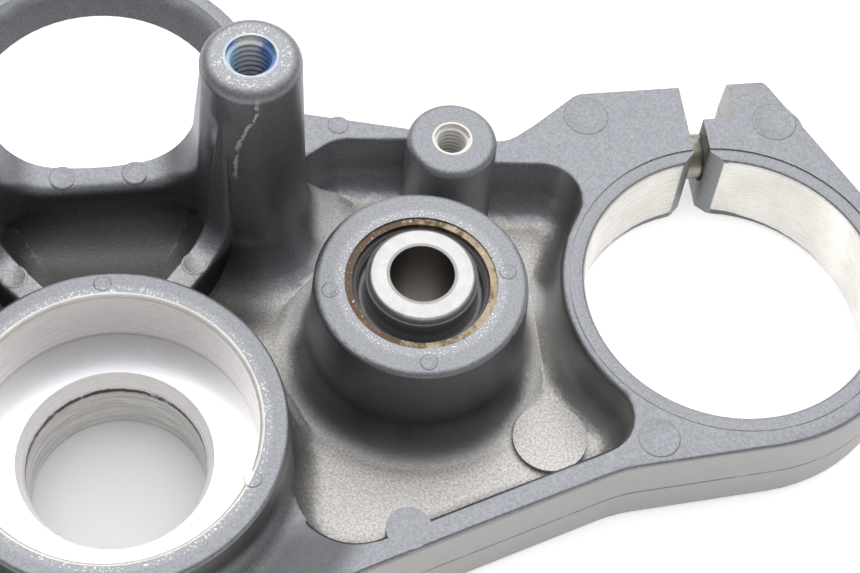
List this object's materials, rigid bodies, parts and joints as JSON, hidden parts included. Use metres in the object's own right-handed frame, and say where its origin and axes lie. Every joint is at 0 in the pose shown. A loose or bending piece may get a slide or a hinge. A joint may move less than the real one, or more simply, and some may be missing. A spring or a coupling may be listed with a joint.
{
  "type": "motorcycle triple clamp",
  "caption": "Cast upper fork clamp of a motorcycle with split fork rings, a stem boss, rubber handlebar bushes, switch posts and a lock opening.",
  "frame": {"origin": "centre of the stem hole on the flat outer face", "axes": "+Z out of the ribbed side along the stem axis, +X across the clamp to the right fork ring, +Y towards the lock opening"},
  "size_m": [0.2706, 0.1416, 0.052],
  "materials": {
    "cast_paint": "dark grey fine-grained paint on cast aluminium, bare in the machined bores",
    "sleeve_steel": "thin steel with light rust",
    "bush_rubber": "semi-gloss black",
    "collar_steel": "satin, turned",
    "screw_steel": "yellow zinc"
  },
  "bodies": {
    "root": {"clamp_casting": "cast_paint", "right_bush_sleeve": "sleeve_steel", "right_bush_rubber": "bush_rubber", "right_bush_collar": "collar_steel", "right_pinch_bolt": "screw_steel", "left_bush_sleeve": "sleeve_steel", "left_bush_rubber": "bush_rubber", "left_bush_collar": "collar_steel", "left_pinch_bolt": "screw_steel"}
  },
  "joints": []
}
